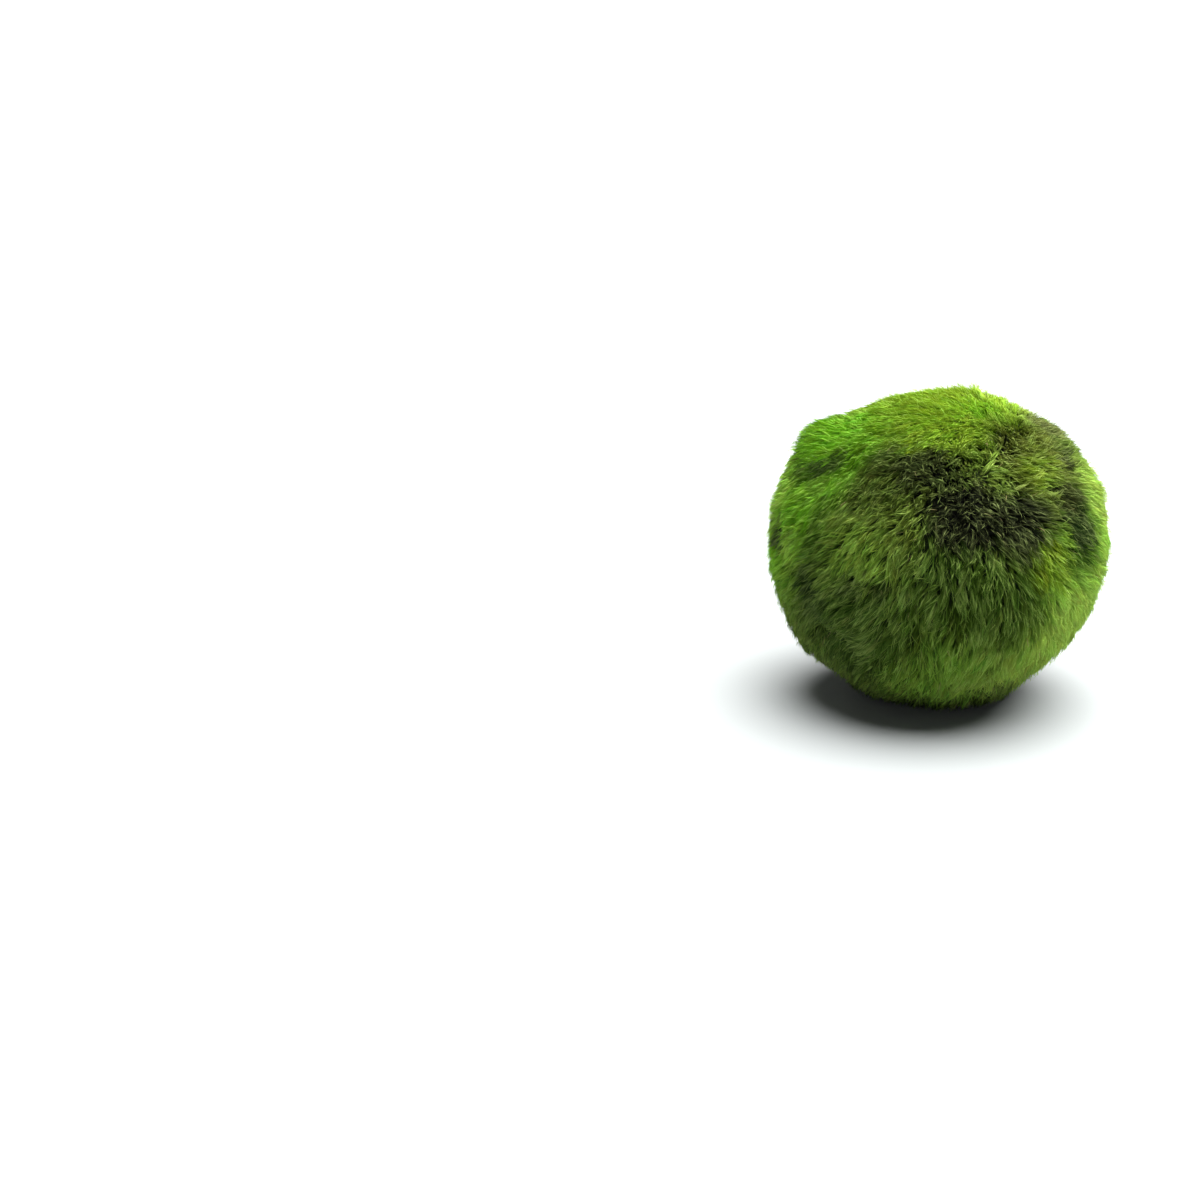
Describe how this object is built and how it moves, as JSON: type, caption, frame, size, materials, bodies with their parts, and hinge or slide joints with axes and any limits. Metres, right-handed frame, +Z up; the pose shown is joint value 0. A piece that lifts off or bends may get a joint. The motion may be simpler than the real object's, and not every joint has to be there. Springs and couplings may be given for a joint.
{
  "type": "marimo moss ball",
  "caption": "Rounded ball of matted green algae filaments with a tufted, combed surface, resting on a small flat pressed spot.",
  "frame": {"origin": "middle of the ball's box seen from above, at the height of the flat spot it rests on", "axes": "+Z up from the flat spot, +X to the right of the ball's front, -Y towards the front with the dark whorl"},
  "size_m": [0.0492, 0.0482, 0.0452],
  "materials": {
    "moss": "matt, soft wet pile of short green filaments"
  },
  "bodies": {
    "root": {"moss_ball": "moss"}
  },
  "joints": []
}
